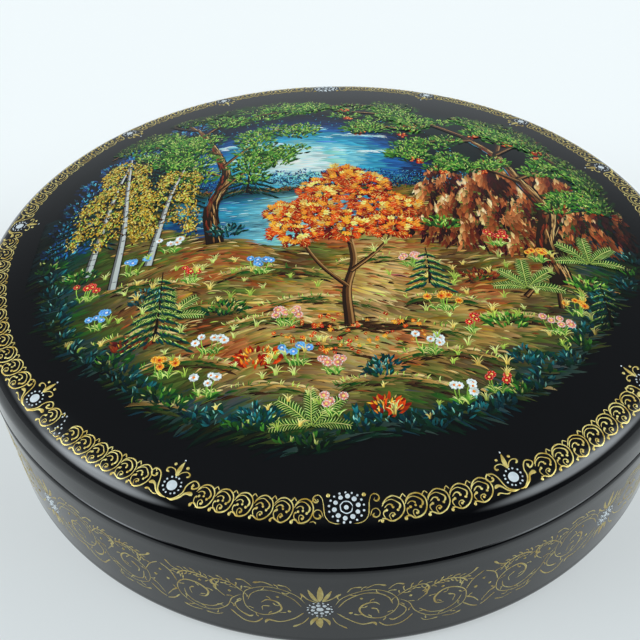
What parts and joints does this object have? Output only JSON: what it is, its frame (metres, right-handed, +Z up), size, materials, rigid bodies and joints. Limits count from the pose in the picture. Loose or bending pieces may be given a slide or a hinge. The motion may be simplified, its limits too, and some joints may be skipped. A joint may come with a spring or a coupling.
{
  "type": "round lacquer box",
  "caption": "Round low lacquer box with a convex lift-off lid that seats over an inner collar.",
  "frame": {"origin": "middle of the underside", "axes": "+Z up along the box's axis; -Y faces the viewer, where the border's largest rosette is"},
  "size_m": [0.18, 0.18, 0.053],
  "materials": {
    "black_lacquer": "polished black lacquer over papier-mache",
    "red_lacquer": "polished cinnabar red lacquer over papier-mache",
    "gold_paint": "powdered gold leaf in gum, burnished",
    "white_paint": "thick white tempera dots",
    "miniature_paint": "egg tempera in many colours under clear lacquer"
  },
  "bodies": {
    "base": {"base_floor": "black_lacquer", "base_wall": "black_lacquer", "inner_collar": "red_lacquer"},
    "lid": {"lid_rim": "black_lacquer", "lid_top": "black_lacquer"}
  },
  "joints": [
    {"name": "lid_lift", "type": "slide", "parent": "base", "child": "lid", "axis": [0, 0, 1], "range_m": [0, 0.06]}
  ]
}
